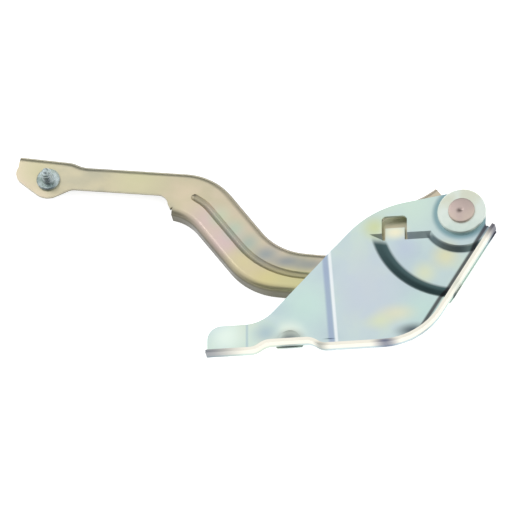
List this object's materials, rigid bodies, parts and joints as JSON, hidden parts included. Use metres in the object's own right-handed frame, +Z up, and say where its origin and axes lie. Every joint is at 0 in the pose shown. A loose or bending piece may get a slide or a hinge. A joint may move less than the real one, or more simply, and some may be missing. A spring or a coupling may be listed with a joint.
{
  "type": "hood hinge",
  "caption": "Stamped steel hood hinge: a flanged body bracket and a gooseneck hood arm with a stud, turning on a shoulder rivet.",
  "frame": {"origin": "middle of the rear landing pad, on the flat underside of the bracket's lower lip", "axes": "+X along the foot towards the pivot end, +Y from the bracket towards the arm, +Z up through the pivot"},
  "size_m": [0.3641, 0.0314, 0.1825],
  "materials": {
    "plated": "pale blue-green zinc plating",
    "passivated": "yellow and pink iridescent zinc plating",
    "rivet": "matt steel",
    "washer": "pale zinc plating",
    "bronze": "plain bearing bronze",
    "stud": "bright steel"
  },
  "bodies": {
    "bracket": {"body_bracket": "plated", "pivot_rivet": "rivet", "pivot_washer": "washer", "friction_washer": "bronze", "rear_washer": "washer"},
    "arm": {"hood_arm": "passivated", "pivot_bush": "bronze", "hood_stud": "stud"}
  },
  "joints": [
    {"name": "arm_pivot", "type": "hinge", "parent": "bracket", "child": "arm", "pos_m": [0.084, 0, 0.108], "axis": [0, 1, 0], "range_deg": [0, 60]}
  ]
}
